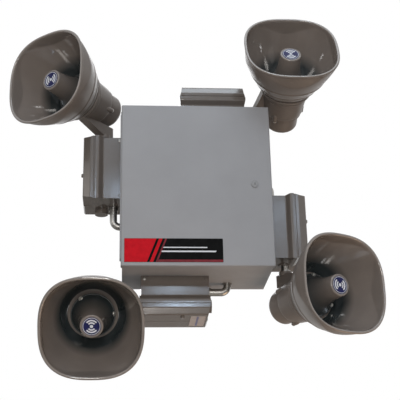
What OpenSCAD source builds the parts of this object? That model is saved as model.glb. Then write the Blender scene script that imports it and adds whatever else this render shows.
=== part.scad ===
// Hinged steel cabinet with four amplified loudspeaker horns, one on each side.
// Millimetres. +Z is up, the front faces -Y, and the origin is the middle of the back face.

/* [Cabinet] */
// Width over the door
cabinet_w = 356; // [330:1:520]
// Height over the door
cabinet_h = 406; // [340:1:620]
// Depth from the back face to the front of the door
cabinet_d = 203; // [170:1:300]
// Thickness of the folded sheet steel
sheet_t = 2; // [1.2:0.1:3]
// Width of the flange turned in round the opening
flange_w = 14; // [12:1:24]
// Distance of the four back holes from the edges of the back
bolt_inset = 35; // [25:1:60]
// Radius of the back holes
bolt_hole_r = 4.5; // [3:0.1:7]

/* [Door] */
// Depth of the edge folded back round the door
door_lip = 18; // [14:1:26]
// Side clearance between that edge and the cabinet
door_gap = 1; // [0.6:0.1:2]
// Thickness of the closed gasket
gasket_t = 6; // [4:0.5:9]
// Width of the gasket strip
gasket_w = 10; // [6:1:11]
// Clearance between the gasket and the flange
gasket_gap = 0.3; // [0.2:0.1:0.6]
// Radius of the lock face
lock_r = 9; // [6:0.5:14]
// Distance of the lock from the free edge
lock_inset = 41; // [34:1:60]
// Outside radius of the hinge knuckles
knuckle_r = 2.7; // [2.2:0.1:2.7]
// Radius of the hinge pin
hinge_pin_r = 1.3; // [1:0.1:1.5]
// Knuckles along the hinge, an even number
knuckle_count = 12; // [6:2:20]

/* [Amplifier housings] */
// Length along the cabinet side
amp_len = 160; // [130:1:170]
// How far the cover stands out from the cabinet side
amp_out = 96; // [84:1:120]
// Distance from the back face to the flat front of the housing
amp_front = 116; // [105:1:135]
// Distance from the back face to the joint between base and cover
amp_seam = 61; // [50:1:75]
// Distance from the horn end of the housing to the cabinet corner
amp_inset = 45; // [44:1:60]
// Height of the swell along the front of the cover
swell_rise = 10; // [4:0.5:14]
// Height of the swell where it runs over the ends of the cover
swell_end = 3; // [2:0.5:6]
// Depth of the seam groove between base and cover
seam_d = 1; // [0.5:0.1:2]

/* [Conduits] */
// Outside radius of the tube
conduit_r = 9; // [7:0.5:10]
// Wall of the tube
conduit_wall = 1.6; // [1:0.1:2.5]
// Centre-line radius of the elbow
elbow_r = 16; // [12.5:0.5:17]
// Straight run out of the housing
conduit_run = 34; // [26:1:45]
// Height of the tube over the cabinet side
conduit_out = 22; // [21.5:0.5:30]
// Distance of the tube from the back face
conduit_depth = 48; // [40:1:80]

/* [Horns] */
// Mouth size across the flats
mouth_size = 232; // [160:1:260]
// Roundness of the mouth: 2 is a circle, more is squarer
mouth_power = 2.65; // [2:0.05:4]
// Lean of the mouth's flat sides, in degrees
side_draft = 2.5; // [1:0.5:5]
// Length of the bell
bell_len = 126; // [118:1:134]
// Radius of the bell where it meets the neck
throat_r = 61; // [56:0.5:64]
// Wall of the bell
bell_wall = 3; // [2:0.1:5]
// Length of the neck behind the bell
neck_len = 72; // [64:1:80]
// Radius of the rear end of the neck
neck_rear_r = 48; // [44:0.5:51]
// Length of the driver cap
driver_len = 54; // [46:1:60]
// Radius of the driver cap
driver_r = 42; // [36:0.5:43]
// Distance of the reflector front behind the mouth
reflector_recess = 22; // [15:1:40]
// Radius of the reflector front
reflector_r = 26; // [20:0.5:30]
// Radius of the reflector rim
reflector_rim_r = 51; // [40:0.5:52]
// Distance from the reflector rim to the floor of the throat
reflector_gap = 10; // [8:1:16]

/* [Swivels] */
// Distance of the mouth in front of the swivel axis
reach = 226; // [215:1:235]
// Distance of the swivel axis from the cabinet side
pivot_out = 48.5; // [44:0.5:60]
// Distance of the swivel axis from the back face
pivot_depth = 54.5; // [52:0.5:70]
// Distance of the top horn's axis beyond the cabinet corner
top_past = 59; // [57:1:90]
// Distance of the right horn's axis beyond the corner
right_past = 57; // [57:1:90]
// Distance of the bottom horn's axis beyond the corner
bottom_past = 65; // [57:1:90]
// Distance of the left horn's axis beyond the corner
left_past = 62; // [57:1:90]
// Distance from the neck down to the seat of the bracket foot
bracket_drop = 23; // [21:1:27]
// Radius of the swivel stud
stud_r = 6; // [4:0.1:8]
// Running clearance round the stud
stud_gap = 0.08; // [0.04:0.01:0.1]
// Clearance between the washer and the bracket foot
foot_gap = 0.3; // [0.2:0.1:0.5]
// Thickness of the bracket
bracket_t = 22; // [18:1:30]
// Aim of the horn on the top side, outward from straight ahead
top_aim = 23; // [20:1:70]
// Aim of the horn on the right side
right_aim = 27; // [20:1:70]
// Aim of the horn on the bottom side
bottom_aim = 30; // [20:1:70]
// Aim of the horn on the left side
left_aim = 38; // [20:1:70]

/* [Hidden] */
$fn = 64;
eps = 0.01;

// Side numbers, counted clockwise as seen from the front
TOP = 0;
RIGHT = 1;
BOTTOM = 2;
LEFT = 3;
AIMS = [top_aim, right_aim, bottom_aim, left_aim];
PASTS = [top_past, right_past, bottom_past, left_past];

// Paint and metal colours
GREY = [0.60, 0.60, 0.61];
MOCHA = [0.42, 0.37, 0.34];
DARK = [0.10, 0.10, 0.11];
ZINC = [0.72, 0.73, 0.75];

// Cabinet body, just inside the door's folded edge
door_inner_w = cabinet_w - 2 * sheet_t;
door_inner_h = cabinet_h - 2 * sheet_t;
body_w = door_inner_w - 2 * door_gap;
body_h = door_inner_h - 2 * door_gap;
body_d = cabinet_d - sheet_t - gasket_t - gasket_gap;
lip_back = cabinet_d - door_lip;
bolt_x = body_w / 2 - bolt_inset;
bolt_z = body_h / 2 - bolt_inset;

// Lock in the door
lock_flange_t = 2;
lock_step = 1.5;
lock_nut_t = 3;
lock_barrel = 18;
cam_t = 2;
cam_len = 30;

// Hinge on the left edge
leaf_t = 1.5;
hinge_x = -cabinet_w / 2;
hinge_y = -(lip_back - knuckle_r);
hinge_len = cabinet_h - 2 * door_lip;
knuckle_len = hinge_len / knuckle_count;
knuckle_gap = 0.4;
pin_gap = 0.05;
wall_leaf_w = 24;
pin_over = 1;

// Amplifier housing, along its side from the corner
amp_horn_end = -amp_inset;
amp_far_end = -amp_inset - amp_len;
amp_back = 0.5;
amp_bevel = 3;
seam_w = 1.5;
swell_from = amp_out * 0.48;
swell_top = amp_out * 0.62;
swell_to = amp_out * 0.70;
groove_w = 2;
groove_d = 2.5;
strip_from = swell_to + 2 * groove_w;
step_at = amp_out * 0.81;
step_d = 2;
strip_drop = 1;
edge_drop = 5;
edge_r = 4;
swell_steps = 6;
edge_steps = 4;

// Plug in the end of the housing that the conduit leaves
plug_r = 16;
plug_t = 12;
plug_out = 52;
plug_depth = 30;

// Conduit fittings
fitting_step = 2.5;
fitting_r = conduit_r + fitting_step;
fitting_len = 9;
nut_t = 4;
locknut_t = 4;
tail_len = 12;
hole_gap = 0.3;
elbow_at = amp_far_end - conduit_run;
entry_at = elbow_at - elbow_r;

// Horn positions along its own axis, from the swivel
mouth_z = reach;
throat_z = mouth_z - bell_len;
neck_rear_z = throat_z - neck_len;
driver_end_z = neck_rear_z - driver_len;
reflector_front_z = mouth_z - reflector_recess;
reflector_rim_z = throat_z + reflector_gap;
collar_len = 7;
collar_step = 2;
collar_r = throat_r + collar_step;
flange_step = 0.5;
driver_flange_r = neck_rear_r - flange_step;
driver_flange_len = 6;
driver_round = 14;
post_r = 4.5;
post_circle_r = reflector_rim_r * 0.8;
post_first = 65;
cap_gap = 1;
rim_len = 7;
rim_out = 3.5;
lip_round = 1;
bell_half = mouth_size / 2 - rim_out;
corner_r = bell_half / pow(2 * pow(cos(45), mouth_power), 1 / mouth_power);
bowl_over = 1.5;
crease_w = 3;

// Swivel pieces, from the housing end to the horn axis
boss_r = 17;
boss_t = 3;
boss_gap = 0.5;
nut_across = 17;
washer_r = 13;
washer_t = 3;
stud_seat = 18;
seat_over = 1;
foot_r = 16;
foot_t = 10;
foot_drop = throat_r + bracket_drop;

function half_out(k) = k % 2 == 0 ? body_h / 2 : body_w / 2;
function half_along(k) = k % 2 == 0 ? body_w / 2 : body_h / 2;
function stack_len(k) = PASTS[k] + amp_inset - foot_drop - foot_gap - boss_t;
function arc(cx, cy, r, from, to, n) =
    [for (i = [0 : n]) let (a = from + (to - from) * i / n) [cx + r * cos(a), cy + r * sin(a)]];

// Frame of one cabinet side: X runs to the horn from the corner, Z stands out, -Y is ahead
module on_side(k) {
    rotate([0, 90 * k, 0])
        translate([half_along(k), 0, half_out(k)])
            children();
}

// Frame of one horn: origin on the swivel axis, Z runs out of the mouth
module on_horn(k) {
    on_side(k)
        translate([PASTS[k], -pivot_depth, pivot_out])
            rotate([90 - AIMS[k], 0, 0])
                children();
}

// Extrudes a shape drawn as (along X, out) from the given depth forward
module forward(depth, length) {
    translate([0, -depth, 0])
        rotate([90, 0, 0])
            linear_extrude(length)
                children();
}

// Cabinet

module back_panel() {
    color(GREY)
        difference() {
            translate([-body_w / 2, -sheet_t, -body_h / 2])
                cube([body_w, sheet_t, body_h]);
            for (x = [-1, 1], z = [-1, 1])
                translate([x * bolt_x, eps, z * bolt_z])
                    rotate([90, 0, 0])
                        cylinder(r = bolt_hole_r, h = sheet_t + 2 * eps);
        }
}

// One side of the cabinet with its mitred flange and the conduit hole
module wall(k) {
    trim = k % 2 == 0 ? sheet_t : 0;
    length = 2 * half_along(k);
    flange_in = sheet_t + flange_w;
    color(GREY)
        on_side(k)
            difference() {
                union() {
                    translate([-length + trim, -body_d, -sheet_t])
                        cube([length - 2 * trim, body_d - sheet_t, sheet_t]);
                    forward(body_d - sheet_t, sheet_t)
                        polygon([
                            [-length + sheet_t, -sheet_t / 2],
                            [-sheet_t, -sheet_t / 2],
                            [-sheet_t, -sheet_t],
                            [-flange_in, -flange_in],
                            [-length + flange_in, -flange_in],
                            [-length + sheet_t, -sheet_t]
                        ]);
                }
                translate([entry_at, -conduit_depth, -sheet_t - eps])
                    cylinder(r = conduit_r + hole_gap, h = sheet_t + 2 * eps);
            }
}

module top_wall() wall(TOP);
module right_wall() wall(RIGHT);
module bottom_wall() wall(BOTTOM);
module left_wall() wall(LEFT);

// Knuckles of one hinge leaf: first is 0 or 1
module knuckles(first) {
    for (i = [first : 2 : knuckle_count - 1])
        translate([hinge_x, hinge_y, -hinge_len / 2 + i * knuckle_len + knuckle_gap / 2])
            cylinder(r = knuckle_r, h = knuckle_len - knuckle_gap);
}

module hinge_bore() {
    translate([hinge_x, hinge_y, -hinge_len / 2 - pin_over])
        cylinder(r = hinge_pin_r + pin_gap, h = hinge_len + 2 * pin_over);
}

module wall_hinge_leaf() {
    color(GREY)
        difference() {
            union() {
                knuckles(0);
                for (i = [0 : 2 : knuckle_count - 1])
                    translate([hinge_x, hinge_y, -hinge_len / 2 + i * knuckle_len + knuckle_gap / 2])
                        cube([-body_w / 2 - hinge_x, knuckle_r, knuckle_len - knuckle_gap]);
                translate([-body_w / 2 - leaf_t, hinge_y + knuckle_r / 2, -hinge_len / 2])
                    cube([leaf_t, wall_leaf_w, hinge_len]);
            }
            hinge_bore();
            for (i = [1 : 2 : knuckle_count - 1])
                translate([hinge_x, hinge_y, -hinge_len / 2 + i * knuckle_len - knuckle_gap / 2])
                    cylinder(r = knuckle_r + knuckle_gap, h = knuckle_len + knuckle_gap);
        }
}

module hinge_pin() {
    color(ZINC)
        translate([hinge_x, hinge_y, -hinge_len / 2 - pin_over])
            cylinder(r = hinge_pin_r, h = hinge_len + 2 * pin_over);
}

// Door

module door_panel() {
    color(GREY)
        difference() {
            translate([-cabinet_w / 2, -cabinet_d, -cabinet_h / 2])
                cube([cabinet_w, door_lip, cabinet_h]);
            translate([-door_inner_w / 2, -cabinet_d + sheet_t, -door_inner_h / 2])
                cube([door_inner_w, door_lip, door_inner_h]);
            translate([cabinet_w / 2 - lock_inset, -cabinet_d + sheet_t + eps, 0])
                rotate([90, 0, 0])
                    cylinder(r = lock_r - lock_step, h = sheet_t + 2 * eps);
        }
}

module door_gasket() {
    middle = sheet_t + flange_w / 2;
    outer_w = body_w - 2 * middle + gasket_w;
    outer_h = body_h - 2 * middle + gasket_w;
    color(DARK)
        translate([0, -cabinet_d + sheet_t, 0])
            difference() {
                translate([-outer_w / 2, 0, -outer_h / 2])
                    cube([outer_w, gasket_t, outer_h]);
                translate([-outer_w / 2 + gasket_w, -eps, -outer_h / 2 + gasket_w])
                    cube([outer_w - 2 * gasket_w, gasket_t + 2 * eps, outer_h - 2 * gasket_w]);
            }
}

module door_lock() {
    cam_half = lock_r - lock_step;
    color(ZINC)
        translate([cabinet_w / 2 - lock_inset, -cabinet_d, 0])
            rotate([-90, 0, 0]) {
                translate([0, 0, -lock_flange_t])
                    cylinder(r = lock_r, h = lock_flange_t);
                translate([0, 0, -eps])
                    cylinder(r = lock_r - lock_step - pin_gap, h = lock_barrel);
                translate([0, 0, sheet_t])
                    cylinder(r = lock_r + lock_step, h = lock_nut_t, $fn = 6);
                translate([-cam_half, -cam_half, lock_barrel - eps])
                    cube([2 * cam_half, cam_len, cam_t]);
            }
}

module door_hinge_leaf() {
    reach_back = hinge_y - (-lip_back);
    color(GREY)
        difference() {
            union() {
                knuckles(1);
                translate([-cabinet_w / 2 - leaf_t, -cabinet_d + sheet_t, -hinge_len / 2])
                    cube([leaf_t, door_lip - sheet_t - knuckle_gap, hinge_len]);
                for (i = [1 : 2 : knuckle_count - 1])
                    translate([
                        -cabinet_w / 2 - leaf_t,
                        -lip_back - knuckle_gap - eps,
                        -hinge_len / 2 + i * knuckle_len + knuckle_gap / 2
                    ])
                        cube([leaf_t, reach_back, knuckle_len - knuckle_gap]);
            }
            hinge_bore();
        }
}

// Amplifier housings

// Outline of the base, set in by the given amount at its ends and outside
module base_outline(inset) {
    polygon([
        [amp_far_end + inset, 0],
        [amp_horn_end - inset, 0],
        [amp_horn_end - inset, amp_out - inset - amp_bevel],
        [amp_horn_end - inset - amp_bevel, amp_out - inset],
        [amp_far_end + inset + amp_bevel, amp_out - inset],
        [amp_far_end + inset, amp_out - inset - amp_bevel]
    ]);
}

// Base with its seam groove and the boss that carries the swivel
module amp_base(k) {
    color(MOCHA)
        on_side(k) {
            forward(amp_back, amp_seam - seam_w - amp_back)
                base_outline(0);
            forward(amp_seam - seam_w - eps, seam_w + eps)
                base_outline(seam_d);
            translate([amp_horn_end - eps, -pivot_depth, pivot_out])
                rotate([0, 90, 0])
                    cylinder(r = boss_r, h = boss_t + eps);
            translate([amp_far_end + eps, -plug_depth, plug_out])
                rotate([0, -90, 0])
                    cylinder(r = plug_r, h = plug_t + eps);
        }
}

// Smooth step from 0 to 1
function ease(t) = (1 - cos(180 * t)) / 2;

// Cross-section of the cover, as (out, depth): flat front, swell, groove, stepped outer strip
amp_crest = amp_front + swell_rise;
cover_section = concat(
    [[0, amp_seam], [0, amp_front]],
    [for (i = [0 : swell_steps]) let (u = i / swell_steps)
        [swell_from + (swell_top - swell_from) * u, amp_front + swell_rise * ease(u)]],
    [
        [swell_to, amp_crest],
        [swell_to + groove_w / 2, amp_crest - groove_d],
        [strip_from - groove_w / 2, amp_crest - groove_d],
        [strip_from, amp_crest - strip_drop],
        [step_at, amp_crest - strip_drop],
        [step_at + step_d, amp_crest - strip_drop - step_d]
    ],
    arc(amp_out - edge_r, amp_crest - edge_drop - edge_r, edge_r, 90, 0, edge_steps),
    [[amp_out, amp_seam]]
);

// Outline of the cover along its side, with the swell running over both ends
cover_outline = [
    [amp_far_end, 0],
    [amp_horn_end, 0],
    [amp_horn_end, swell_from],
    [amp_horn_end + swell_end, swell_top],
    [amp_horn_end + swell_end, swell_to],
    [amp_horn_end, step_at],
    [amp_horn_end - amp_bevel, amp_out],
    [amp_far_end + amp_bevel, amp_out],
    [amp_far_end, step_at],
    [amp_far_end - swell_end, swell_to],
    [amp_far_end - swell_end, swell_top],
    [amp_far_end, swell_from]
];

module amp_cover(k) {
    color(MOCHA)
        on_side(k)
            difference() {
                intersection() {
                    translate([amp_far_end - swell_end, 0, 0])
                        rotate([90, 0, 90])
                            linear_extrude(amp_len + 2 * swell_end)
                                polygon([for (p = cover_section) [-p[1], p[0]]]);
                    forward(amp_back, amp_front + swell_rise)
                        polygon(cover_outline);
                }
                translate([amp_horn_end, -pivot_depth, pivot_out])
                    rotate([0, 90, 0])
                        cylinder(r = boss_r + boss_gap, h = boss_t);
            }
}

// Conduit elbow with its fittings, from the housing into the cabinet
module conduit(k) {
    color(ZINC)
        on_side(k)
            translate([0, -conduit_depth, 0])
                difference() {
                    union() {
                        translate([elbow_at, 0, conduit_out])
                            rotate([0, 90, 0])
                                cylinder(r = conduit_r, h = conduit_run);
                        translate([amp_far_end - fitting_len, 0, conduit_out])
                            rotate([0, 90, 0])
                                cylinder(r = fitting_r, h = fitting_len);
                        elbow();
                        translate([entry_at, 0, -sheet_t - tail_len])
                            cylinder(r = conduit_r, h = tail_len + sheet_t + conduit_out - elbow_r);
                        translate([entry_at, 0, 0])
                            cylinder(r = fitting_r, h = nut_t);
                        translate([entry_at, 0, -sheet_t - locknut_t])
                            cylinder(r = fitting_r, h = locknut_t);
                    }
                    translate([entry_at, 0, -sheet_t - tail_len - eps])
                        cylinder(r = conduit_r - conduit_wall, h = tail_len);
                }
}

module elbow() {
    translate([elbow_at, 0, conduit_out - elbow_r])
        rotate([90, 0, 0])
            rotate([0, 0, 90])
                rotate_extrude(angle = 90)
                    translate([elbow_r, 0])
                        circle(r = conduit_r);
}

// Stud with its nut and washer on the boss of a housing
module swivel(k) {
    nut_len = stack_len(k) - washer_t;
    color(ZINC)
        on_side(k)
            translate([amp_horn_end + boss_t, -pivot_depth, pivot_out])
                rotate([0, 90, 0]) {
                    cylinder(d = nut_across / cos(30), h = nut_len, $fn = 6);
                    translate([0, 0, nut_len - eps])
                        cylinder(r = washer_r, h = washer_t + eps);
                    cylinder(r = stud_r, h = stack_len(k) + stud_seat);
                }
}

// Horns

// The bell at u, from 0 at the mouth to 1 at the throat: a round bowl, cut by the mouth's four flat sides
function bowl_r(u) = throat_r + (corner_r + bowl_over - throat_r) * pow(1 - pow(u, bell_bulge), bell_curve);
function flat_r(u, a) =
    bell_half / pow(pow(abs(cos(a)), mouth_power) + pow(abs(sin(a)), mouth_power), 1 / mouth_power)
    - bell_len * u * tan(side_draft);

// The lesser of the two, with the crease between them eased
function bell_r(u, a) =
    let (c = bowl_r(u), f = flat_r(u, a))
    (c + f - sqrt(pow(c - f, 2) + pow(crease_w, 2))) / 2;

bell_curve = 0.87;
bell_bulge = 1.27;
bell_steps = 12;
bell_sides = 48;
rim_u = rim_len / bell_len;

// Closed run of [offset from the bell surface, u] round the wall of the bell
bell_loop = concat(
    [for (i = [0 : bell_steps]) [0, 1 - (1 - rim_u) * i / bell_steps]],
    [[rim_out, rim_u * 0.8], [rim_out, rim_u * 0.15], [rim_out - lip_round, 0], [lip_round - bell_wall, 0]],
    [for (i = [1 : bell_steps + 1]) [-bell_wall, i / (bell_steps + 1)]]
);
loop_n = len(bell_loop);

function bell_ring(j) =
    let (
        u = bell_loop[j][1],
        z = mouth_z - bell_len * u
    )
    [for (i = [0 : bell_sides - 1])
        let (a = 360 * i / bell_sides, q = bell_r(u, a) + bell_loop[j][0])
        [q * cos(a), q * sin(a), z]];

bell_points = [for (j = [0 : loop_n - 1]) each bell_ring(j)];
bell_faces = [
    for (j = [0 : loop_n - 1], i = [0 : bell_sides - 1])
        let (
            i2 = (i + 1) % bell_sides,
            j2 = (j + 1) % loop_n,
            a = j * bell_sides + i,
            b = j * bell_sides + i2,
            c = j2 * bell_sides + i2,
            d = j2 * bell_sides + i
        )
        each [[a, c, b], [a, d, c]]
];

module bell(k) {
    color(MOCHA)
        on_horn(k)
            polyhedron(points = bell_points, faces = bell_faces, convexity = 6);
}

// Reflector: flat front, nearly straight sides, then a flare to its rim
function reflector_side(u) =
    [
        reflector_r + (reflector_rim_r - reflector_r) * (0.14 * u + 0.86 * u * u * u),
        reflector_front_z + (reflector_rim_z - reflector_front_z) * u
    ];
reflector_steps = 12;
reflector_edge = 4;

module reflector(k) {
    color(MOCHA)
        on_horn(k) {
            rotate_extrude()
                polygon(concat(
                    [[0, reflector_rim_z], [0, reflector_front_z]],
                    [[reflector_r - reflector_edge, reflector_front_z]],
                    [[reflector_r - reflector_edge * 0.3, reflector_front_z - reflector_edge * 0.3]],
                    [for (i = [1 : reflector_steps]) reflector_side(i / reflector_steps)]
                ));
            for (i = [0 : 2])
                rotate([0, 0, post_first + 120 * i])
                    translate([post_circle_r, 0, throat_z])
                        cylinder(r = post_r, h = reflector_gap * 2);
        }
}

// Neck behind the bell, with the bracket down to the swivel
module neck(k) {
    cap_clear = driver_flange_r + cap_gap;
    foot_top = -foot_drop + foot_t;
    inside = neck_rear_r * 0.7;
    bracket_z = throat_z - collar_len - collar_step;
    heel_z = driver_end_z * 0.9;
    color(MOCHA)
        on_horn(k)
            difference() {
                union() {
                    rotate_extrude()
                        polygon([
                            [0, neck_rear_z],
                            [neck_rear_r, neck_rear_z],
                            [neck_rear_r + collar_step, neck_rear_z + 2 * collar_step],
                            [throat_r - 2 * collar_step, bracket_z],
                            [collar_r, throat_z - collar_len],
                            [collar_r, throat_z],
                            [0, throat_z]
                        ]);
                    rotate([90, 0, 0])
                        linear_extrude(bracket_t, center = true)
                            polygon([
                                [-cap_clear, heel_z],
                                [-cap_clear, neck_rear_z],
                                [-inside, neck_rear_z],
                                [-inside, bracket_z],
                                [-throat_r + 2 * collar_step, bracket_z],
                                [foot_top - foot_t / 2, foot_r * 0.7],
                                [foot_top - foot_t / 2, -foot_r * 1.5],
                                [-cap_clear - bracket_drop * 0.6, heel_z]
                            ]);
                    translate([-foot_drop, 0, 0])
                        rotate([0, 90, 0])
                            cylinder(r = foot_r, h = foot_t);
                }
                translate([-foot_drop - eps, 0, 0])
                    rotate([0, 90, 0])
                        cylinder(r = stud_r + stud_gap, h = stud_seat + seat_over);
            }
}

module driver(k) {
    flange_z = neck_rear_z - driver_flange_len;
    color(MOCHA)
        on_horn(k)
            rotate_extrude()
                polygon(concat(
                    [[0, neck_rear_z], [driver_flange_r, neck_rear_z], [driver_flange_r, flange_z]],
                    [[driver_r, flange_z]],
                    arc(driver_r - driver_round, driver_end_z + driver_round, driver_round, 0, -90, 8),
                    [[0, driver_end_z]]
                ));
}

module top_amp_base() amp_base(TOP);
module top_amp_cover() amp_cover(TOP);
module top_conduit() conduit(TOP);
module top_swivel() swivel(TOP);
module top_bell() bell(TOP);
module top_reflector() reflector(TOP);
module top_neck() neck(TOP);
module top_driver() driver(TOP);

module right_amp_base() amp_base(RIGHT);
module right_amp_cover() amp_cover(RIGHT);
module right_conduit() conduit(RIGHT);
module right_swivel() swivel(RIGHT);
module right_bell() bell(RIGHT);
module right_reflector() reflector(RIGHT);
module right_neck() neck(RIGHT);
module right_driver() driver(RIGHT);

module bottom_amp_base() amp_base(BOTTOM);
module bottom_amp_cover() amp_cover(BOTTOM);
module bottom_conduit() conduit(BOTTOM);
module bottom_swivel() swivel(BOTTOM);
module bottom_bell() bell(BOTTOM);
module bottom_reflector() reflector(BOTTOM);
module bottom_neck() neck(BOTTOM);
module bottom_driver() driver(BOTTOM);

module left_amp_base() amp_base(LEFT);
module left_amp_cover() amp_cover(LEFT);
module left_conduit() conduit(LEFT);
module left_swivel() swivel(LEFT);
module left_bell() bell(LEFT);
module left_reflector() reflector(LEFT);
module left_neck() neck(LEFT);
module left_driver() driver(LEFT);

back_panel();
top_wall();
right_wall();
bottom_wall();
left_wall();
wall_hinge_leaf();
hinge_pin();
door_panel();
door_gasket();
door_lock();
door_hinge_leaf();
top_amp_base();
top_amp_cover();
top_conduit();
top_swivel();
top_bell();
top_reflector();
top_neck();
top_driver();
right_amp_base();
right_amp_cover();
right_conduit();
right_swivel();
right_bell();
right_reflector();
right_neck();
right_driver();
bottom_amp_base();
bottom_amp_cover();
bottom_conduit();
bottom_swivel();
bottom_bell();
bottom_reflector();
bottom_neck();
bottom_driver();
left_amp_base();
left_amp_cover();
left_conduit();
left_swivel();
left_bell();
left_reflector();
left_neck();
left_driver();
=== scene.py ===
import math

import bpy
from mathutils import Matrix, Vector


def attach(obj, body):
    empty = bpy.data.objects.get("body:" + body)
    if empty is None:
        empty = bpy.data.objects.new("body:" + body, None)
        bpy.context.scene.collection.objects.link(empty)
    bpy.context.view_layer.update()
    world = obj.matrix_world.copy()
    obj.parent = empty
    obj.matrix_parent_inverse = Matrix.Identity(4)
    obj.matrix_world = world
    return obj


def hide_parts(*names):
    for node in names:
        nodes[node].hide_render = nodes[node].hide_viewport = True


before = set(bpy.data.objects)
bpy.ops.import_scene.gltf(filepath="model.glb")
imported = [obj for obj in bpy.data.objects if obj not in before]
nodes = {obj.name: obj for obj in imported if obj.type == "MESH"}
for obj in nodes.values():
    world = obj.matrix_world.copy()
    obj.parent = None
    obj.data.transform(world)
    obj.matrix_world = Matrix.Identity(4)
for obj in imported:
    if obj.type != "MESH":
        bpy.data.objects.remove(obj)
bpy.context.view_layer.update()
scene = bpy.context.scene

# Sizes in millimetres, as in the part's source
MM = 0.001
SIDES = ("top", "right", "bottom", "left")
AIMS = (23, 27, 30, 38)
PASTS = (59, 57, 65, 62)
DOOR_W, DOOR_H, DOOR_D = 356, 406, 203
SHEET, DOOR_GAP, DOOR_LIP = 2, 1, 18
BODY_W = DOOR_W - 2 * (SHEET + DOOR_GAP)
BODY_H = DOOR_H - 2 * (SHEET + DOOR_GAP)
LOCK_INSET, LOCK_FLANGE = 41, 2
AMP_LEN, AMP_OUT, AMP_FRONT, AMP_INSET = 160, 96, 116, 45
PIVOT_OUT, PIVOT_DEPTH, REACH = 48.5, 54.5, 226
MOUTH, MOUTH_POWER, SIDE_DRAFT, RIM = 232, 2.65, 2.5, 3.5
BELL_LEN, THROAT_R, WALL = 126, 61, 3
BELL_CURVE, BELL_BULGE, BOWL_OVER = 0.87, 1.27, 1.5
NECK_LEN, NECK_REAR_R, COLLAR_STEP = 72, 48, 2
COLLAR_R = THROAT_R + COLLAR_STEP
REFLECTOR_R, REFLECTOR_RIM_R, REFLECTOR_FLARE = 26, 51, 0.86
REFLECTOR_RECESS, REFLECTOR_GAP = 22, 10
POST_R, POST_SHARE, FIRST_POST = 4.5, 0.8, 65

# Heights along a horn's axis, from the swivel
THROAT_Z = REACH - BELL_LEN
NECK_REAR_Z = THROAT_Z - NECK_LEN
REFLECTOR_FRONT = REACH - REFLECTOR_RECESS
REFLECTOR_BACK = THROAT_Z + REFLECTOR_GAP

# Radius at which a turned profile meets its axis, and steps in the quarter turn of a rounded edge
AXIS_R, ROLL_STEPS = 0.01, 6

# Screw heads: washer's overhang, edge and height, then the head's foot, bevel and share left at its top
WASHER_OVER, WASHER_EDGE, WASHER_H = 1.2, 0.7, 1.2
HEAD_FOOT, HEAD_BEVEL, HEAD_TOP = 1.0, 0.6, 0.86


def side_frame(k):
    """Frame of one cabinet side: X runs to the horn from the corner, Z stands out, -Y is ahead."""
    along, out = (BODY_W / 2, BODY_H / 2) if k % 2 == 0 else (BODY_H / 2, BODY_W / 2)
    return Matrix.Rotation(math.radians(90 * k), 4, "Y") @ Matrix.Translation((along, 0, out))


def horn_frame(k):
    """Frame of one horn: origin on the swivel axis, Z runs out of the mouth."""
    tilt = Matrix.Rotation(math.radians(90 - AIMS[k]), 4, "X")
    return side_frame(k) @ Matrix.Translation((PASTS[k], -PIVOT_DEPTH, PIVOT_OUT)) @ tilt


def front_frame(x, y):
    """Frame of a flat front: X runs right, Y up and Z ahead."""
    return Matrix.Translation((x, y, 0)) @ Matrix.Rotation(math.pi / 2, 4, "X")


def polar(r, a, z=0):
    """A place at a radius and an angle round Z."""
    return Matrix.Translation((r * math.cos(a), r * math.sin(a), z))


def angles(first, last, steps):
    """Angles in even steps, both ends included, in radians."""
    return [math.radians(first + (last - first) * i / steps) for i in range(steps + 1)]


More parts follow.
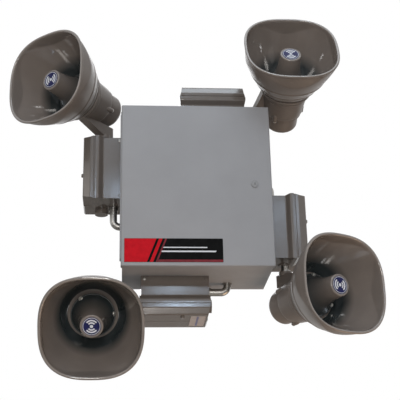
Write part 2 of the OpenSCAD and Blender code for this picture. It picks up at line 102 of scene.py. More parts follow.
class Shape:
    """Collects the faces of one piece, in millimetres."""

    def __init__(self):
        self.verts, self.faces, self.mats = [], [], []

    def loft(self, rings, mat, matrix, caps=(False, False)):
        """Joins rings of equal length into a skin, with a cap on its first or last ring."""
        n = len(rings[0])
        starts = [len(self.verts) + j * n for j in range(len(rings))]
        faces = []
        for a, b in zip(starts, starts[1:]):
            faces += [(a + i, a + (i + 1) % n, b + (i + 1) % n, b + i) for i in range(n)]
        if caps[0]:
            faces.append([starts[0] + i for i in reversed(range(n))])
        if caps[1]:
            faces.append([starts[-1] + i for i in range(n)])
        self.verts += [matrix @ Vector(v) for ring in rings for v in ring]
        self.faces += faces
        self.mats += [mat] * len(faces)

    def lathe(self, profile, sides, mat, matrix, caps=(False, False)):
        """Turns a profile of (radius, height) points round Z."""
        turn = [2 * math.pi * i / sides for i in range(sides)]
        rings = [[(r * math.cos(a), r * math.sin(a), z) for a in turn] for r, z in profile]
        self.loft(rings, mat, matrix, caps)

    def plate(self, outline, low, high, mat, matrix, edge=0):
        """A flat plate over an outline, with its upper edge taken off."""
        rings = [[(x, y, z) for x, y in outline] for z in (low, high - edge)]
        if edge:
            cx = sum(x for x, y in outline) / len(outline)
            cy = sum(y for x, y in outline) / len(outline)
            inner = []
            for x, y in outline:
                keep = 1 - edge / math.hypot(x - cx, y - cy)
                inner.append((cx + (x - cx) * keep, cy + (y - cy) * keep, high))
            rings.append(inner)
        self.loft(rings, mat, matrix, caps=(True, True))

    def hex_screw(self, matrix, across, height, flange, mat):
        """A hexagon head on its washer flange, standing on z = 0."""
        washer_r = across * flange / 2
        edge_r = washer_r + WASHER_OVER
        washer = [(edge_r, 0), (edge_r, WASHER_EDGE), (washer_r, WASHER_H)]
        self.lathe(washer, 24, mat, matrix, caps=(True, True))
        head_r = across / math.sqrt(3)
        head = [(head_r, HEAD_FOOT), (head_r, height - HEAD_BEVEL), (head_r * HEAD_TOP, height)]
        self.lathe(head, 6, mat, matrix, caps=(False, True))

    def build(self, name, body, materials, angle, node=None):
        """Makes the piece, smooth up to an angle, and puts it on the body that carries it."""
        mesh = bpy.data.meshes.new(name)
        mesh.from_pydata([tuple(c * MM for c in v) for v in self.verts], [], self.faces)
        mesh.polygons.foreach_set("material_index", self.mats)
        mesh.polygons.foreach_set("use_smooth", [True] * len(mesh.polygons))
        mesh.update()
        mesh.set_sharp_from_angle(angle=math.radians(angle))
        for m in materials:
            mesh.materials.append(m)
        obj = bpy.data.objects.new(name, mesh)
        scene.collection.objects.link(obj)
        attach(obj, body)
        if node:
            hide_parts(node)


# Materials

# Sockets of the Mix node that carry colours
MIX_A, MIX_B, MIX_OUT = 6, 7, 2

# Painted shade in a throat: its colour, and how far ahead of the throat it is full
THROAT_SHADE_COLOUR, THROAT_SHADE_FULL = (0.03, 0.037, 0.039), 20
DUST = (0.19, 0.172, 0.158)


class Nodes:
    """Short forms for building a node material."""

    def __init__(self, name):
        self.mat = bpy.data.materials.new(name)
        self.mat.use_nodes = True
        self.tree = self.mat.node_tree
        self.shader = self.tree.nodes["Principled BSDF"]
        self.coord = self.node("ShaderNodeTexCoord").outputs["Object"]

    def node(self, kind, **inputs):
        n = self.tree.nodes.new(kind)
        for key, value in inputs.items():
            n.inputs[key.replace("_", " ")].default_value = value
        return n

    def link(self, a, b):
        self.tree.links.new(a, b)

    def set(self, **inputs):
        for key, value in inputs.items():
            self.shader.inputs[key.replace("_", " ")].default_value = value

    def noise(self, scale, detail, rough=0.55):
        n = self.node("ShaderNodeTexNoise", Scale=scale, Detail=detail, Roughness=rough)
        self.link(self.coord, n.inputs["Vector"])
        return n.outputs["Fac"]

    def spread(self, value, low, high, start=0.3, end=0.7):
        """Maps the range from start to end onto low to high."""
        r = self.node("ShaderNodeMapRange", From_Min=start, From_Max=end, To_Min=low, To_Max=high)
        self.link(value, r.inputs["Value"])
        return r.outputs["Result"]

    def mix(self, factor, a, b):
        m = self.node("ShaderNodeMix")
        m.data_type = "RGBA"
        self.link(factor, m.inputs["Factor"])
        for value, index in ((a, MIX_A), (b, MIX_B)):
            if isinstance(value, tuple):
                m.inputs[index].default_value = (*value, 1)
            else:
                self.link(value, m.inputs[index])
        return m.outputs[MIX_OUT]

    def bump(self, height, strength, distance):
        b = self.node("ShaderNodeBump", Strength=strength, Distance=distance)
        self.link(height, b.inputs["Height"])
        self.link(b.outputs["Normal"], self.shader.inputs["Normal"])

    def colour(self, socket):
        self.link(socket, self.shader.inputs["Base Color"])

    def rough(self, socket):
        self.link(socket, self.shader.inputs["Roughness"])


def shade(base, factor):
    return tuple(c * factor for c in base)


def cabinet_paint():
    """Light grey powder coat with fine orange peel and faint specks."""
    n = Nodes("cabinet_paint")
    base = (0.272, 0.27, 0.279)
    cloud = n.noise(scale=9, detail=5)
    colour = n.mix(n.spread(cloud, 0, 1), shade(base, 0.95), shade(base, 1.04))
    speck = n.noise(scale=420, detail=2)
    colour = n.mix(n.spread(speck, 0, 0.22, start=0.6, end=0.75), colour, shade(base, 0.86))
    n.colour(colour)
    n.rough(n.spread(n.noise(scale=30, detail=5), 0.44, 0.56))
    n.set(Specular_IOR_Level=0.42)
    n.bump(n.noise(scale=650, detail=3), strength=0.16, distance=0.0004)
    return n.mat


def paint_throat_shade(n, colour, k, start):
    """Paints shade onto one horn's paint, darker from a depth behind its mouth down to its throat."""
    place = horn_frame(k)
    axis = place.to_3x3() @ Vector((0, 0, 1))
    along = n.node("ShaderNodeVectorMath")
    along.operation = "DOT_PRODUCT"
    n.link(n.coord, along.inputs[0])
    along.inputs[1].default_value = axis
    mouth = place.translation.dot(axis) + REACH
    full = mouth - BELL_LEN + THROAT_SHADE_FULL
    deep = n.spread(along.outputs["Value"], 1, 0, start=full * MM, end=(mouth - start) * MM)
    return n.mix(deep, colour, THROAT_SHADE_COLOUR)


def horn_paint(name, base, k=None, start=0, rough=0.06, gloss=0.62, coat=0):
    """Mocha enamel with slow ripples in the film and a little dust, and painted shade down the throat where
    a side is given.
    """
    n = Nodes(name)
    cloud = n.noise(scale=14, detail=5)
    colour = n.mix(n.spread(cloud, 0, 1), shade(base, 0.92), shade(base, 1.07))
    dust = n.noise(scale=70, detail=6, rough=0.65)
    colour = n.mix(n.spread(dust, 0, 0.14, start=0.5, end=0.8), colour, DUST)
    # painted shade, darker towards the throat, where a side is given
    if k is not None:
        colour = paint_throat_shade(n, colour, k, start)
    n.colour(colour)
    n.rough(n.spread(n.noise(scale=40, detail=5), rough, rough + 0.05))
    n.set(Specular_IOR_Level=gloss, Coat_Weight=coat, Coat_Roughness=0.04, Coat_IOR=1.6)
    n.bump(n.noise(scale=28, detail=2), strength=0.02, distance=0.002)
    return n.mat


def zinc(name, level):
    """Zinc plate: blotchy grey crystals with brown stains."""
    n = Nodes(name)
    dark, light, stained = (0.5, 0.49, 0.47), (0.74, 0.72, 0.68), (0.36, 0.34, 0.28)
    cell = n.node("ShaderNodeTexVoronoi", Scale=260)
    n.link(n.coord, cell.inputs["Vector"])
    crystal = n.spread(cell.outputs["Distance"], 0, 1, start=0, end=0.9)
    colour = n.mix(crystal, shade(dark, level), shade(light, level))
    stain = n.spread(n.noise(scale=45, detail=5), 0, 0.5, start=0.5, end=0.75)
    n.colour(n.mix(stain, colour, shade(stained, level)))
    n.rough(n.spread(n.noise(scale=90, detail=4), 0.26, 0.42))
    n.set(Metallic=1.0)
    n.bump(n.noise(scale=500, detail=3), strength=0.08, distance=0.0004)
    return n.mat


def lock_metal():
    """Lock face in the cabinet's grey, a little darker and rubbed."""
    n = Nodes("lock_plate")
    rubbed = n.spread(n.noise(scale=120, detail=4), 0, 1)
    n.colour(n.mix(rubbed, (0.23, 0.23, 0.236), (0.27, 0.27, 0.276)))
    n.rough(n.spread(n.noise(scale=300, detail=4), 0.4, 0.55))
    n.set(Specular_IOR_Level=0.35)
    n.bump(n.noise(scale=900, detail=2), strength=0.05, distance=0.0003)
    return n.mat


def rubber():
    """Black foam rubber with a dusty mottle."""
    n = Nodes("gasket_rubber")
    mottle = n.spread(n.noise(scale=200, detail=5), 0, 1)
    n.colour(n.mix(mottle, (0.018, 0.018, 0.018), (0.035, 0.035, 0.034)))
    n.rough(n.spread(n.noise(scale=90, detail=4), 0.75, 0.9))
    n.bump(n.noise(scale=700, detail=3), strength=0.3, distance=0.0005)
    return n.mat


def film(name, base, rough, vary, gloss=0.15):
    """Printed vinyl: one colour with a slight mottle, scuffs in the gloss and a faint grain."""
    n = Nodes(name)
    mottle = n.spread(n.noise(scale=80, detail=5), 0, 1)
    n.colour(n.mix(mottle, shade(base, 1 - vary), shade(base, 1 + vary)))
    n.rough(n.spread(n.noise(scale=55, detail=6, rough=0.7), rough - 0.05, rough + 0.12))
    n.set(Specular_IOR_Level=gloss)
    n.bump(n.noise(scale=800, detail=2), strength=0.05, distance=0.0003)
    return n.mat


def floor_material():
    """Pale warm floor with a faint unevenness."""
    n = Nodes("floor")
    uneven = n.spread(n.noise(scale=1.5, detail=4), 0, 1)
    n.colour(n.mix(uneven, (0.74, 0.68, 0.61), (0.79, 0.73, 0.66)))
    n.rough(n.spread(n.noise(scale=3, detail=4), 0.7, 0.85))
    return n.mat


GREY = cabinet_paint()
# The horns' mocha outside; inside, the same paint made lighter as painted light
OUTSIDE, INSIDE_WITH_PAINTED_LIGHT = (0.15, 0.126, 0.11), (0.2, 0.17, 0.15)
# the housings wear the outside mocha made darker, as painted shade
HOUSING = horn_paint("housing_paint", shade(OUTSIDE, 0.85), rough=0.1, gloss=0.55)
MOCHA = horn_paint("horn_paint", OUTSIDE, rough=0.36, gloss=0.4)
THROAT = [
    horn_paint(f"bell_paint_{side}", INSIDE_WITH_PAINTED_LIGHT, k, start=80, gloss=0.8, coat=0.3)
    for k, side in enumerate(SIDES)
]
CORE = [horn_paint(f"reflector_paint_{side}", INSIDE_WITH_PAINTED_LIGHT, k, start=34) for k, side in enumerate(SIDES)]
ZINC = zinc("zinc", level=1)
# a copy of the zinc made darker as painted shade, for conduits, swivels, hinge pin and cover screws
ZINC_PAINTED_DARKER = zinc("zinc_painted_darker", level=0.54)
LOCK = lock_metal()
RUBBER = rubber()
BLACK = film("plate_black", (0.006, 0.006, 0.006), rough=0.36, vary=0.25, gloss=0.02)
RED = film("plate_red", (0.53, 0.008, 0.016), rough=0.36, vary=0.1, gloss=0.04)
MAROON = film("plate_maroon", (0.16, 0.01, 0.016), rough=0.3, vary=0.2)
PALE = film("print_pale", (0.66, 0.67, 0.7), rough=0.32, vary=0.05)
NAVY = film("badge_navy", (0.012, 0.014, 0.075), rough=0.22, vary=0.2)
PAPER = film("blank_paper", (0.42, 0.38, 0.37), rough=0.5, vary=0.06)
SLATE = film("print_slate", (0.16, 0.17, 0.3), rough=0.45, vary=0.1)
DARK = film("shadow_black", (0.012, 0.012, 0.012), rough=0.6, vary=0.2)

# Dressing of the solids

# Rounding of the edges of the nodes with a word in their names
EDGE_ROUNDS = (("amp", 1.4), ("neck", 1.6), ("swivel", 0.5))
WELD_GAP, ROUND_STEPS, SHARP_ANGLE = 0.02, 3, 28


def node_material(name):
    """The material of one CAD node."""
    if name == "door_gasket":
        return RUBBER
    if name == "door_lock":
        return LOCK
    if name == "hinge_pin" or "conduit" in name or "swivel" in name:
        return ZINC_PAINTED_DARKER
    if "amp" in name:
        return HOUSING
    if any(word in name for word in ("bell", "reflector", "neck", "driver")):
        return MOCHA
    return GREY


def round_edges(obj, width):
    """Takes the hard look off the edges of a CAD node."""
    weld = obj.modifiers.new("weld", "WELD")
    weld.merge_threshold = WELD_GAP * MM
    bevel = obj.modifiers.new("bevel", "BEVEL")
    bevel.width = width * MM
    bevel.segments = ROUND_STEPS
    bevel.limit_method = "ANGLE"
    bevel.angle_limit = math.radians(SHARP_ANGLE)
    obj.modifiers.new("normals", "WEIGHTED_NORMAL")


def dress_cad():
    """Gives every CAD node its material and some of them rounded edges."""
    for name, obj in nodes.items():
        obj.data.materials.clear()
        obj.data.materials.append(node_material(name))
        for word, width in EDGE_ROUNDS:
            if word in name:
                round_edges(obj, width)


# Horns

# Bell: fineness, softness of the crease, and the ridges' places from mouth to throat, height and half width
BELL_SIDES, BELL_STEPS, CREASE = 144, 96, 0.8
RIDGES, RIDGE_H, RIDGE_W = (0.62, 0.84), 1.6, 0.035

# Lip: its depth, the turn of its roll in degrees, its steps and the step at which the paint changes
LIP_DEPTH, LIP_FROM, LIP_TO, LIP_STEPS, LIP_PAINT = 2.2 * RIM, -75, 150, 12, 7

# Beads: half width, height, share sunk and steps, then the second one's depth and the neck's radius there
BEAD_HALF, BEAD_H, BEAD_SUNK, BEAD_STEPS = 3.5, 2, 0.2, 8
NECK_BEAD, NECK_R = 17, 56

# Reflector: badge seat, roll of the nose, rim band, posts and screws
SEAT_R, SEAT_DEPTH, SEAT_BEVEL, NOSE_R = REFLECTOR_R - 3.5, 0.8, 0.5, 3
REFLECTOR_STEPS, FIRST_STEP = 30, 2
RIM_BAND = ((-0.4, 3), (0, 2), (0, 0.8), (-0.8, 0))
POSTS, POST_SUNK = 3, 1
RIM_SCREW = {"across": 7, "height": 3.6, "flange": 1.2}
RIM_SCREW_AT, RIM_SCREW_LEAN = 0.95, 38

# Badge: disc, pale ring and dot, and two pairs of arcs in degrees
BADGE_R, BADGE_T, BADGE_BEVEL, PRINT_T = 20.6, 0.8, (0.4, 0.3), 0.15
BADGE_RING, BADGE_DOT = (19.2, 18.2), 3.6
ARC_RADII, ARC_W, ARC_SPAN, ARC_STEPS = (8, 13.4), 3.2, 104, 16

# Driver's lugs with their bolts, from the joint between driver and neck
LUGS, LUG_R, LUG_TOP, LUG_FOOT = 3, 6.2, 15, -6
LUG = (
    (AXIS_R, LUG_TOP),
    (3, LUG_TOP - 0.4),
    (5.4, LUG_TOP - 3),
    (LUG_R, LUG_TOP - 7),
    (LUG_R, LUG_FOOT + 0.4),
    (LUG_R - 0.4, LUG_FOOT),
    (AXIS_R, LUG_FOOT),
)
LUG_BOLT = {"across": 8, "height": 4.4, "flange": 1.2}
LUG_BOLT_OUT = 0.8


def mouth_r(a):
    """Radius of the rounded-square mouth at an angle."""
    square = abs(math.cos(a)) ** MOUTH_POWER + abs(math.sin(a)) ** MOUTH_POWER
    return (MOUTH / 2 - RIM) / square ** (1 / MOUTH_POWER)


def bell_r(u, a):
    """The bell from u = 0 at the mouth to 1 at the throat: a round bowl cut by four flat sides."""
    widening = mouth_r(math.pi / 4) + BOWL_OVER - THROAT_R
    bowl = THROAT_R + widening * max(1 - u**BELL_BULGE, 0) ** BELL_CURVE
    flat = mouth_r(a) - BELL_LEN * u * math.tan(math.radians(SIDE_DRAFT))
    return (bowl + flat - math.hypot(bowl - flat, CREASE)) / 2


def ridge(u):
    """Height of the two pressed ridges on the outside of the bell."""
    return sum(RIDGE_H * max(1 - ((u - at) / RIDGE_W) ** 2, 0) for at in RIDGES)


def bell_rings(section):
    """Rings round the bell at each pair of an offset from its surface and a depth."""
    turn = [2 * math.pi * i / BELL_SIDES for i in range(BELL_SIDES)]
    rings = []
    for offset, u in section:
        radii = [bell_r(u, a) + offset for a in turn]
        z = REACH - BELL_LEN * u
        rings.append([(r * math.cos(a), r * math.sin(a), z) for r, a in zip(radii, turn)])
    return rings


def bell(k):
    """The bell as a smooth skin with a rolled lip."""
    start = LIP_DEPTH / BELL_LEN
    depths = [1 - (1 - start) * i / BELL_STEPS for i in range(BELL_STEPS + 1)]
    outside = [(ridge(u), u) for u in depths]
    roll = angles(LIP_FROM, LIP_TO, LIP_STEPS)
    lip = [(RIM * math.cos(a), (RIM - RIM * math.sin(a)) / BELL_LEN) for a in roll]
    inside = [(-WALL, u) for u in reversed(depths[:-1])]
    s = Shape()
    s.loft(bell_rings(outside + lip[: LIP_PAINT + 1]), 1, horn_frame(k))
    s.loft(bell_rings(lip[LIP_PAINT:] + inside + outside[:1]), 0, horn_frame(k))
    side = SIDES[k]
    s.build(f"{side}_bell_skin", f"{side}_horn", [THROAT[k], MOCHA], 40, f"{side}_bell")


def neck_beads(k):
    """Two rolled beads: one on the collar behind the bell, one on the neck."""
    s = Shape()
    for depth, r in ((BEAD_HALF, COLLAR_R), (NECK_BEAD, NECK_R)):
        z = THROAT_Z - depth
        roll = angles(0, 180, BEAD_STEPS)
        bead = [(r + BEAD_H * (math.sin(a) - BEAD_SUNK), z + BEAD_HALF * math.cos(a)) for a in roll]
        s.lathe(bead, 96, 0, horn_frame(k))
    s.build(f"{SIDES[k]}_neck_beads", f"{SIDES[k]}_horn", [MOCHA], 40)


def reflector_at(u):
    """Radius and height of the reflector's skin, from u = 0 at its nose to 1 at its rim."""
    flare = (1 - REFLECTOR_FLARE) * u + REFLECTOR_FLARE * u**3
    r = REFLECTOR_R + (REFLECTOR_RIM_R - REFLECTOR_R) * flare
    return r, REFLECTOR_FRONT + (REFLECTOR_BACK - REFLECTOR_FRONT) * u


def reflector_profile():
    """Badge seat, rounded nose, flared skin and rim band."""
    seat_z = REFLECTOR_FRONT - SEAT_DEPTH
    seat = [(AXIS_R, seat_z), (SEAT_R, seat_z), (SEAT_R + SEAT_BEVEL, REFLECTOR_FRONT)]
    r, z = REFLECTOR_R - NOSE_R, REFLECTOR_FRONT - NOSE_R
    nose = [(r + NOSE_R * math.sin(a), z + NOSE_R * math.cos(a)) for a in angles(0, 90, ROLL_STEPS)]
    skin = [reflector_at(i / REFLECTOR_STEPS) for i in range(FIRST_STEP, REFLECTOR_STEPS)]
    rim = [(REFLECTOR_RIM_R + over, REFLECTOR_BACK + up) for over, up in RIM_BAND]
    return seat + nose + skin + rim + [(AXIS_R, REFLECTOR_BACK)]


def reflector(k):
    """The reflector with its posts and rim screws."""
    horn = horn_frame(k)
    s = Shape()
    s.lathe(reflector_profile(), 96, 0, horn)
    for i in range(POSTS):
        a = math.radians(FIRST_POST + 360 / POSTS * i)
        post = [(POST_R, THROAT_Z), (POST_R, REFLECTOR_BACK + POST_SUNK)]
        s.lathe(post, 24, 0, horn @ polar(REFLECTOR_RIM_R * POST_SHARE, a), caps=(True, True))
        lean = Matrix.Rotation(a, 4, "Z") @ Matrix.Rotation(math.radians(RIM_SCREW_LEAN), 4, "Y")
        r, z = reflector_at(RIM_SCREW_AT)
        s.hex_screw(horn @ polar(r, a, z) @ lean, mat=1, **RIM_SCREW)
    side = SIDES[k]
    paints = [CORE[k], ZINC]
    s.build(f"{side}_reflector_skin", f"{side}_horn", paints, 34, f"{side}_reflector")


def badge(k):
    """A navy disc with a pale ring, dot and arcs, on the reflector's nose."""
    seat = horn_frame(k) @ Matrix.Translation((0, 0, REFLECTOR_FRONT - SEAT_DEPTH))
    low, high = BADGE_T, BADGE_T + PRINT_T
    over, down = BADGE_BEVEL
    disc = [(BADGE_R, 0), (BADGE_R, low - down), (BADGE_R - over, low), (AXIS_R, low)]
    outer, inner = BADGE_RING
    s = Shape()
    s.lathe(disc, 72, 0, seat)
    s.lathe([(outer, low), (outer, high), (inner, high), (inner, low)], 72, 1, seat)
    s.lathe([(BADGE_DOT, low), (BADGE_DOT, high), (AXIS_R, high)], 36, 1, seat)
    for r in ARC_RADII:
        inner, outer = r - ARC_W / 2, r + ARC_W / 2
        section = ((outer, low), (outer, high), (inner, high), (inner, low))
        for middle in (90, 270):
            sweep = angles(middle - ARC_SPAN / 2, middle + ARC_SPAN / 2, ARC_STEPS)
            rings = [[(d * math.cos(a), d * math.sin(a), z) for d, z in section] for a in sweep]
            s.loft(rings, 1, seat, caps=(True, True))
    s.build(f"{SIDES[k]}_badge", f"{SIDES[k]}_horn", [NAVY, PALE], 30)


def driver_bolts(k):
    """Lugs and bolts that clamp the driver to the neck."""
    s = Shape()
    for i in range(LUGS):
        at = horn_frame(k) @ polar(NECK_REAR_R, math.radians(360 / LUGS * i), NECK_REAR_Z)
        s.lathe(LUG, 32, 0, at)
        turned = Matrix.Translation((LUG_BOLT_OUT, 0, LUG_FOOT)) @ Matrix.Rotation(math.pi, 4, "X")
        s.hex_screw(at @ turned, mat=1, **LUG_BOLT)
    s.build(f"{SIDES[k]}_driver_bolts", f"{SIDES[k]}_horn", [MOCHA, ZINC], 34)


# Cabinet trim

# Door's edges: outer radius, hem at the back and least radius of a corner
EDGE_R, HEM, CORNER_MIN = 3, 0.3, 0.4

# Plate on the door: edges from the door's middle, corner radius, thickness and bevel, then its print
PLATE_LEFT, PLATE_FOOT, PLATE_RIGHT, PLATE_TOP = -170, -194, 57, -137
PLATE_R, PLATE_T, PLATE_BEVEL = 1.5, 0.8, 0.2
PLATE_PRINT, PRINT_EDGE, SLANT = (0.7, 0.86), 0.5, 22
PRINT_LEFT, PRINT_RIGHT = PLATE_LEFT + PRINT_EDGE, PLATE_RIGHT - PRINT_EDGE
PRINT_FOOT, PRINT_TOP = PLATE_FOOT + PRINT_EDGE, PLATE_TOP - PRINT_EDGE

# Lock: turned ring on its face, and the key slot's half width, half length, corner radius and heights
LOCK_RING = ((8.9, 0), (8.7, 0.35), (6.4, 0.35), (6.2, 0), (5.8, 0.2), (AXIS_R, 0.25))
SLOT_HALF_W, SLOT_HALF_H, SLOT_R, SLOT_Z = 0.7, 3.4, 0.6, (0.2, 0.32)

# Housings: screws in from the cover's ends and out from the cabinet, and the stop on the outer face
COVER_SCREW = {"across": 4, "height": 2, "flange": 1.1}
COVER_SCREW_IN, COVER_SCREW_OUT = 8, 8
STOP_IN, STOP_DEPTH = 97, 103
STOP = ((5, 0), (5, 2.5), (4, 4.5), (AXIS_R, 5))

# Label on the bottom housing: box, corner radius and heights of the paper, box and heights of the stripe
PAPER_BOX, PAPER_R, PAPER_Z = (-197, -108, -162, -14), 1.5, (0, 0.25)
STRIPE_BOX, STRIPE_Z = (-181, -104, -176, -18), (0.2, 0.3)


def rounded(x0, y0, x1, y1, r, steps=5):
    """Outline of a rectangle with rounded corners."""
    corners = ((x1 - r, y1 - r), (x0 + r, y1 - r), (x0 + r, y0 + r), (x1 - r, y0 + r))
    outline = []
    for i, (cx, cy) in enumerate(corners):
        turn = angles(90 * i, 90 * i + 90, steps)
        outline += [(cx + r * math.cos(a), cy + r * math.sin(a)) for a in turn]
    return outline


def leaning(left, foot, right, top, left_lean=0, right_lean=0):
    """Outline of a box whose sides lean to the right on their way up."""
    return [(left, foot), (right, foot), (right + right_lean, top), (left + left_lean, top)]


def door_ring(inset, y, r):
    """Outline of the door, drawn in by an inset, at one depth."""
    x, z = DOOR_W / 2 - inset, DOOR_H / 2 - inset
    return [(px, y, pz) for px, pz in rounded(-x, -z, x, z, r)]


def door_skin():
    """The door as a folded tray with rounded edges."""
    back, front = DOOR_LIP - DOOR_D, -DOOR_D
    folds = ((SHEET, front + SHEET), (SHEET, back), (HEM, back), (0, back - HEM))
    rings = [door_ring(inset, y, EDGE_R - inset / 2) for inset, y in folds]
    for a in angles(0, 90, ROLL_STEPS):
        inset = EDGE_R - EDGE_R * math.cos(a)
        y = front + EDGE_R - EDGE_R * math.sin(a)
        rings.append(door_ring(inset, y, max(EDGE_R - inset, CORNER_MIN)))
    s = Shape()
    s.loft(rings, 0, Matrix(), caps=(True, True))
    s.build("door_skin", "door", [GREY], 40, "door_panel")


def door_plate():
    """Blank black plate with a red end, slanted stripes, pale lines and a maroon foot."""
    red, maroon, pale = 1, 2, 3
    face = front_frame(0, -DOOR_D)
    s = Shape()
    sheet = rounded(PLATE_LEFT, PLATE_FOOT, PLATE_RIGHT, PLATE_TOP, PLATE_R)
    s.plate(sheet, 0, PLATE_T, 0, face, PLATE_BEVEL)
    prints = (
        (leaning(PRINT_LEFT, PRINT_FOOT, -118, PRINT_TOP, 0, SLANT), red),
        (leaning(-112, PRINT_FOOT, -104, PRINT_TOP, SLANT, SLANT), red),
        (leaning(-98, PRINT_FOOT, -94, PRINT_TOP, SLANT, SLANT), maroon),
        (leaning(-86, -170, 40, -166.5, 1.5, 1.5), pale),
        (leaning(-81.5, -160, 20, -157.5, 1, 1), pale),
        (leaning(-95, PRINT_FOOT, PRINT_RIGHT, -188, 2.2, 0), maroon),
    )
    for outline, mat in prints:
        s.plate(outline, *PLATE_PRINT, mat, face)
    s.build("door_plate", "door", [BLACK, RED, MAROON, PALE], 20)


def lock_face():
    """Key slot and turned ring on the lock."""
    face = front_frame(DOOR_W / 2 - LOCK_INSET, -DOOR_D - LOCK_FLANGE)
    s = Shape()
    s.lathe(LOCK_RING, 48, 0, face)
    slot = rounded(-SLOT_HALF_W, -SLOT_HALF_H, SLOT_HALF_W, SLOT_HALF_H, SLOT_R)
    s.plate(slot, *SLOT_Z, 1, face)
    s.build("lock_face", "door", [LOCK, DARK], 30)


def cover_screws(k):
    """Screws and the small stop on an amplifier housing."""
    near, far = -AMP_INSET, -AMP_INSET - AMP_LEN
    side = side_frame(k)
    ahead = Matrix.Rotation(math.pi / 2, 4, "X")
    s = Shape()
    for x, mat in ((near - COVER_SCREW_IN, 0), (far + COVER_SCREW_IN, 1)):
        at = Matrix.Translation((x, -AMP_FRONT, COVER_SCREW_OUT))
        s.hex_screw(side @ at @ ahead, mat=mat, **COVER_SCREW)
    s.lathe(STOP, 28, 1, side @ Matrix.Translation((near - STOP_IN, -STOP_DEPTH, AMP_OUT)))
    s.build(f"{SIDES[k]}_cover_screws", "cabinet", [ZINC_PAINTED_DARKER, HOUSING], 32)


def sticker():
    """Blank paper label on the outer face of the bottom housing."""
    face = side_frame(SIDES.index("bottom")) @ Matrix.Translation((0, 0, AMP_OUT))
    s = Shape()
    s.plate(rounded(*PAPER_BOX, PAPER_R), *PAPER_Z, 0, face)
    s.plate(leaning(*STRIPE_BOX), *STRIPE_Z, 1, face)
    s.build("bottom_housing_label", "cabinet", [PAPER, SLATE], 30)


# Stage, in metres

# Camera solved from the cabinet's corners in the photograph: place, axes and focal length in pixels
CAMERA_AT = (-0.1694, -2.4033, -0.8890)
CAMERA_RIGHT = (0.99722, -0.07175, -0.02020)
CAMERA_AHEAD = (0.07422, 0.93062, 0.35837)
CAMERA_UP = (-0.00691, -0.35887, 0.93337)
FOCAL_PIXELS, IMAGE_PIXELS, SENSOR, FAR = 1010.9, 400, 36, 50

FLOOR_HALF, FLOOR_Z = 6, -1.5
MIDDLE = (0, -0.1, -0.05)
FILL, FILL_STRENGTH = (0.93, 0.96, 1), 0.2
WHITE, PALE_SKY, COOL, SKY = (1, 1, 1), (0.97, 0.98, 1), (0.82, 0.91, 1), (0.78, 0.89, 1)
WARM, AMBER, BLUE = (1, 0.95, 0.9), (1, 0.66, 0.42), (0.6, 0.78, 1)


def camera():
    """The place the photograph was taken from."""
    right, up, ahead = Vector(CAMERA_RIGHT), Vector(CAMERA_UP), Vector(CAMERA_AHEAD)
    data = bpy.data.cameras.new("camera")
    data.sensor_width = SENSOR
    data.lens = SENSOR * FOCAL_PIXELS / IMAGE_PIXELS
    data.clip_end = FAR
    obj = bpy.data.objects.new("camera", data)
    m = Matrix((right, up, -ahead)).transposed().to_4x4()
    m.translation = Vector(CAMERA_AT)
    obj.matrix_world = m
    scene.collection.objects.link(obj)
    scene.camera = obj


def backdrop():
    """A weak pale fill for the object, and white where the camera, gloss or glass looks past it."""
    world = bpy.data.worlds.new("world")
    scene.world = world
    world.use_nodes = True
    tree = world.node_tree
    path = tree.nodes.new("ShaderNodeLightPath")
    seen = path.outputs["Is Camera Ray"]
    for output in ("Is Glossy Ray", "Is Transmission Ray"):
        either = tree.nodes.new("ShaderNodeMath")
        either.operation = "MAXIMUM"
        tree.links.new(seen, either.inputs[0])
        tree.links.new(path.outputs[output], either.inputs[1])
        seen = either.outputs[0]
    fill = tree.nodes["Background"]
    fill.inputs["Color"].default_value = (*FILL, 1)
    fill.inputs["Strength"].default_value = FILL_STRENGTH
    white = tree.nodes.new("ShaderNodeBackground")
    white.inputs["Color"].default_value = (*WHITE, 1)
    white.inputs["Strength"].default_value = 1
    mix = tree.nodes.new("ShaderNodeMixShader")
    tree.links.new(seen, mix.inputs[0])
    tree.links.new(fill.outputs[0], mix.inputs[1])
    tree.links.new(white.outputs[0], mix.inputs[2])
    tree.links.new(mix.outputs[0], tree.nodes["World Output"].inputs["Surface"])


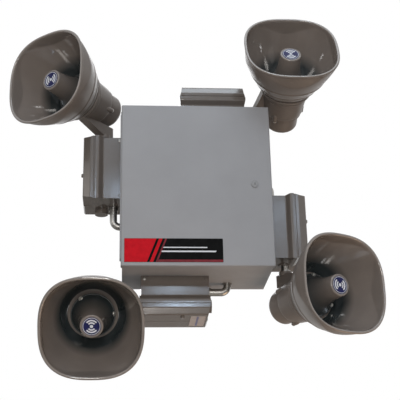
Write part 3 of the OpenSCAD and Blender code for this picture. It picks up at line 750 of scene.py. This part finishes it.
def ground():
    """The plain pale floor."""
    half = FLOOR_HALF
    corners = [(-half, -half, 0), (half, -half, 0), (half, half, 0), (-half, half, 0)]
    mesh = bpy.data.meshes.new("floor")
    mesh.from_pydata(corners, [], [range(len(corners))])
    mesh.materials.append(floor_material())
    floor = bpy.data.objects.new("floor", mesh)
    floor.location = (0, 0, FLOOR_Z)
    scene.collection.objects.link(floor)


def lamp(name, at, size, power, colour):
    """A rectangular lamp that faces the middle of the object."""
    data = bpy.data.lights.new(name, "AREA")
    data.shape = "RECTANGLE"
    data.size, data.size_y = size
    data.energy = power
    data.color = colour
    obj = bpy.data.objects.new(name, data)
    obj.location = at
    obj.rotation_euler = (Vector(MIDDLE) - Vector(at)).to_track_quat("-Z", "Y").to_euler()
    scene.collection.objects.link(obj)


def lamps():
    """Cool light from above, warm light from ahead and below, and small windows for the gloss, in watts."""
    lamp("top", (0, -1.2, 2.8), (3.2, 2.6), 38, COOL)
    lamp("sky", (0.4, -3.0, 2.9), (1.4, 1.0), 23, SKY)
    lamp("key", (-1.7, -3.0, 0.7), (1.2, 1.2), 10, WARM)
    lamp("front", (-0.17, -2.9, -0.15), (0.6, 0.5), 17, WARM)
    lamp("flash", (-0.169, -2.45, -0.76), (0.26, 0.2), 5, WHITE)
    lamp("low", (0.8, -0.15, -1.1), (0.5, 0.5), 4, AMBER)
    lamp("back", (0.3, 3.2, 1.7), (2.4, 2), 32, PALE_SKY)
    lamp("window_left", (-0.24, -5, 1.88), (0.24, 0.14), 2, BLUE)
    lamp("window_high", (-0.24, -5, 2.4), (0.24, 0.16), 0.3, BLUE)
    lamp("window_low", (0.22, -5, 1.1), (0.16, 0.1), 4, BLUE)
    lamp("window_floor", (0.6, -5, 1.1), (0.9, 0.45), 4, BLUE)
    lamp("window_right", (1.15, -5, 1.75), (0.6, 0.3), 3, BLUE)
    lamp("window_top", (0.12, -5, 2.56), (0.36, 0.12), 1.2, BLUE)


camera()
backdrop()
ground()
lamps()
dress_cad()
for k in range(len(SIDES)):
    bell(k)
    neck_beads(k)
    reflector(k)
    badge(k)
    driver_bolts(k)
    cover_screws(k)
door_skin()
door_plate()
lock_face()
sticker()
scene.view_settings.view_transform = "Standard"
